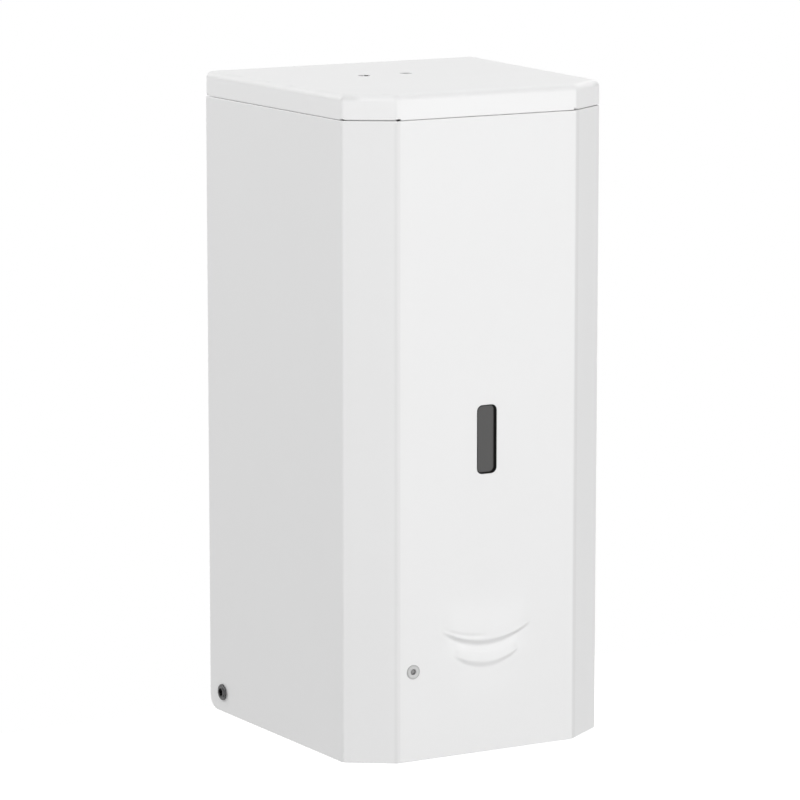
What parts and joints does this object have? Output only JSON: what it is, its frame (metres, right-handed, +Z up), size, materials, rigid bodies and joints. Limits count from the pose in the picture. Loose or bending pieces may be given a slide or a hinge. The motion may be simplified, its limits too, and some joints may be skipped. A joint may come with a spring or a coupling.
{
  "type": "wall mounted soap dispenser",
  "caption": "Touch-free wall soap dispenser: tall white steel casing with cut front corners, hinged locking lid, level window, tank and motor-driven hose pump inside.",
  "frame": {"origin": "centre of the wall face, halfway up the whole height, on the wall plane", "axes": "+Z up, +Y into the wall, +X to the right of someone facing the dispenser"},
  "size_m": [0.136, 0.1275, 0.2786],
  "materials": {
    "enamel": "white satin-gloss powder coat",
    "zinc_steel": "zinc-plated sheet",
    "screw_steel": "dark stainless",
    "black_rubber": "matt",
    "smoked_plastic": "smoked, glossy",
    "white_plastic": "moulded, fine texture",
    "grey_plastic": "moulded",
    "black_plastic": "moulded, fine texture",
    "tank_plastic": "translucent blow-moulded",
    "silicone": "translucent",
    "gear_plastic": "moulded acetal",
    "red_insulation": "soft insulation",
    "board_green": "solder mask",
    "cell_wrap": "printed sleeve left plain"
  },
  "bodies": {
    "chassis": {"front_casing": "enamel", "back_plate": "zinc_steel", "side_nut_left": "zinc_steel", "side_nut_right": "zinc_steel", "window_retainer": "zinc_steel", "hinge_bracket_left": "zinc_steel", "hinge_bracket_right": "zinc_steel", "latch_catch": "zinc_steel", "tank_shelf": "zinc_steel", "pump_bracket": "zinc_steel", "idler_pin": "zinc_steel", "motor": "zinc_steel", "motor_plate": "zinc_steel", "contact_strip": "zinc_steel", "side_screw_left": "screw_steel", "side_screw_right": "screw_steel", "window_gasket": "black_rubber", "window_pane": "smoked_plastic", "indicator_lens": "smoked_plastic", "sensor_window": "smoked_plastic", "tank_cover": "white_plastic", "pump_body": "white_plastic", "pump_cover": "white_plastic", "bottom_panel": "white_plastic", "lead_socket": "white_plastic", "indicator_bezel": "grey_plastic", "nozzle": "black_plastic", "sensor_housing": "black_plastic", "ir_emitter": "black_plastic", "ir_receiver": "black_plastic", "battery_box": "black_plastic", "switch_body": "black_plastic", "controller_chip": "black_plastic", "soap_tank": "tank_plastic", "pump_hose": "silicone", "battery_lead": "red_insulation", "motor_lead": "red_insulation", "indicator_board": "board_green", "control_board": "board_green", "cell_1": "cell_wrap", "cell_2": "cell_wrap", "cell_3": "cell_wrap", "cell_4": "cell_wrap"},
    "lid": {"lid": "enamel", "hinge_pin_left": "zinc_steel", "hinge_pin_right": "zinc_steel", "seal_carrier": "white_plastic", "lid_seal": "black_rubber", "latch_guide": "grey_plastic", "latch_spring": "zinc_steel"},
    "latch": {"latch_slider": "zinc_steel"},
    "rotor": {"pump_rotor": "gear_plastic"},
    "roller_one": {"roller_1": "grey_plastic"},
    "roller_two": {"roller_2": "grey_plastic"},
    "roller_three": {"roller_3": "grey_plastic"},
    "idler": {"idler_gear": "gear_plastic"},
    "pinion": {"motor_pinion": "gear_plastic"},
    "battery_cover": {"battery_door": "white_plastic"},
    "switch_knob": {"switch_slider": "black_plastic"}
  },
  "joints": [
    {"name": "lid_hinge", "type": "hinge", "parent": "chassis", "child": "lid", "pos_m": [0, -0.0045, 0.13525], "axis": [-1, 0, 0], "range_deg": [0, 90]},
    {"name": "latch_slide", "type": "slide", "parent": "lid", "child": "latch", "axis": [0, 1, 0], "range_m": [0, 0.004], "stiffness_N_per_m": 200, "springref_m": -0.003, "deforming": ["latch_spring"]},
    {"name": "rotor_turn", "type": "hinge", "parent": "chassis", "child": "rotor", "pos_m": [0.016, -0.0905, -0.09185], "axis": [0, 1, 0], "continuous": true},
    {"name": "roller_one_turn", "type": "hinge", "parent": "rotor", "child": "roller_one", "pos_m": [0.0238, -0.0905, -0.09185], "axis": [0, 1, 0], "continuous": true},
    {"name": "roller_two_turn", "type": "hinge", "parent": "rotor", "child": "roller_two", "pos_m": [0.0121, -0.0905, -0.0851], "axis": [0, 1, 0], "continuous": true},
    {"name": "roller_three_turn", "type": "hinge", "parent": "rotor", "child": "roller_three", "pos_m": [0.0121, -0.0905, -0.0986], "axis": [0, 1, 0], "continuous": true},
    {"name": "idler_turn", "type": "hinge", "parent": "chassis", "child": "idler", "pos_m": [-0.0008, -0.0905, -0.09185], "axis": [0, 1, 0], "continuous": true},
    {"name": "pinion_turn", "type": "hinge", "parent": "chassis", "child": "pinion", "pos_m": [-0.0197, -0.0905, -0.09185], "axis": [0, 1, 0], "continuous": true},
    {"name": "battery_door_hinge", "type": "hinge", "parent": "chassis", "child": "battery_cover", "pos_m": [0, -0.0196, -0.13285], "axis": [1, 0, 0], "range_deg": [0, 90]},
    {"name": "switch_slide", "type": "slide", "parent": "chassis", "child": "switch_knob", "axis": [1, 0, 0], "range_m": [0, 0.004]}
  ],
  "couplings": [
    {"joint": "idler_turn", "follows": "rotor_turn", "ratio": -3},
    {"joint": "pinion_turn", "follows": "rotor_turn", "ratio": 10.5},
    {"joint": "roller_one_turn", "follows": "rotor_turn", "ratio": -3},
    {"joint": "roller_two_turn", "follows": "rotor_turn", "ratio": -3},
    {"joint": "roller_three_turn", "follows": "rotor_turn", "ratio": -3}
  ]
}
